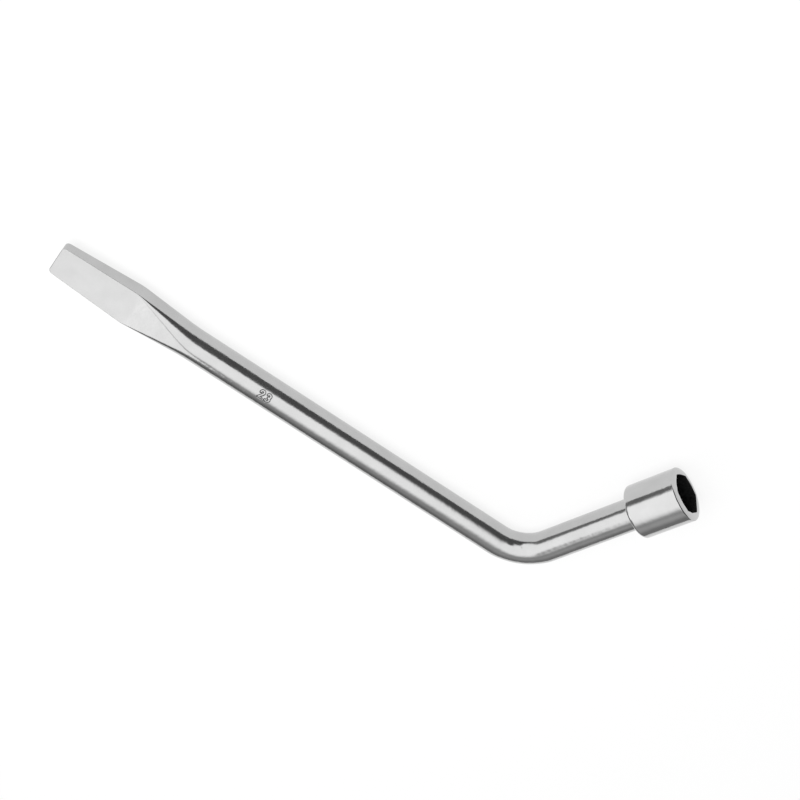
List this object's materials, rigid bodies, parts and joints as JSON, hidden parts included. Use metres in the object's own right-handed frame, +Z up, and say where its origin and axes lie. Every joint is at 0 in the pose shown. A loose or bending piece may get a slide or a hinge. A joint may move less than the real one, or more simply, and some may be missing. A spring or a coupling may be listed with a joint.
{
  "type": "l-shaped lug wrench",
  "caption": "L-shaped lug wrench: a bent round steel bar with a hexagon socket welded on its short arm and a flat pry blade forged on the end of its long arm.",
  "frame": {"origin": "centre of the socket's mouth, where the nut goes in", "axes": "+X out of the mouth along the socket's axis, +Y towards the side that the long arm turns to, +Z up, square to the plane of the bend"},
  "size_m": [0.2346, 0.3265, 0.0326],
  "materials": {
    "bar_plating": "bright nickel-chrome plate over a polished steel bar",
    "socket_plating": "bright nickel-chrome plate over a turned steel socket, left dark inside the hexagon"
  },
  "bodies": {
    "root": {"shank": "bar_plating", "socket": "socket_plating", "neck_weld": "bar_plating"}
  },
  "joints": []
}
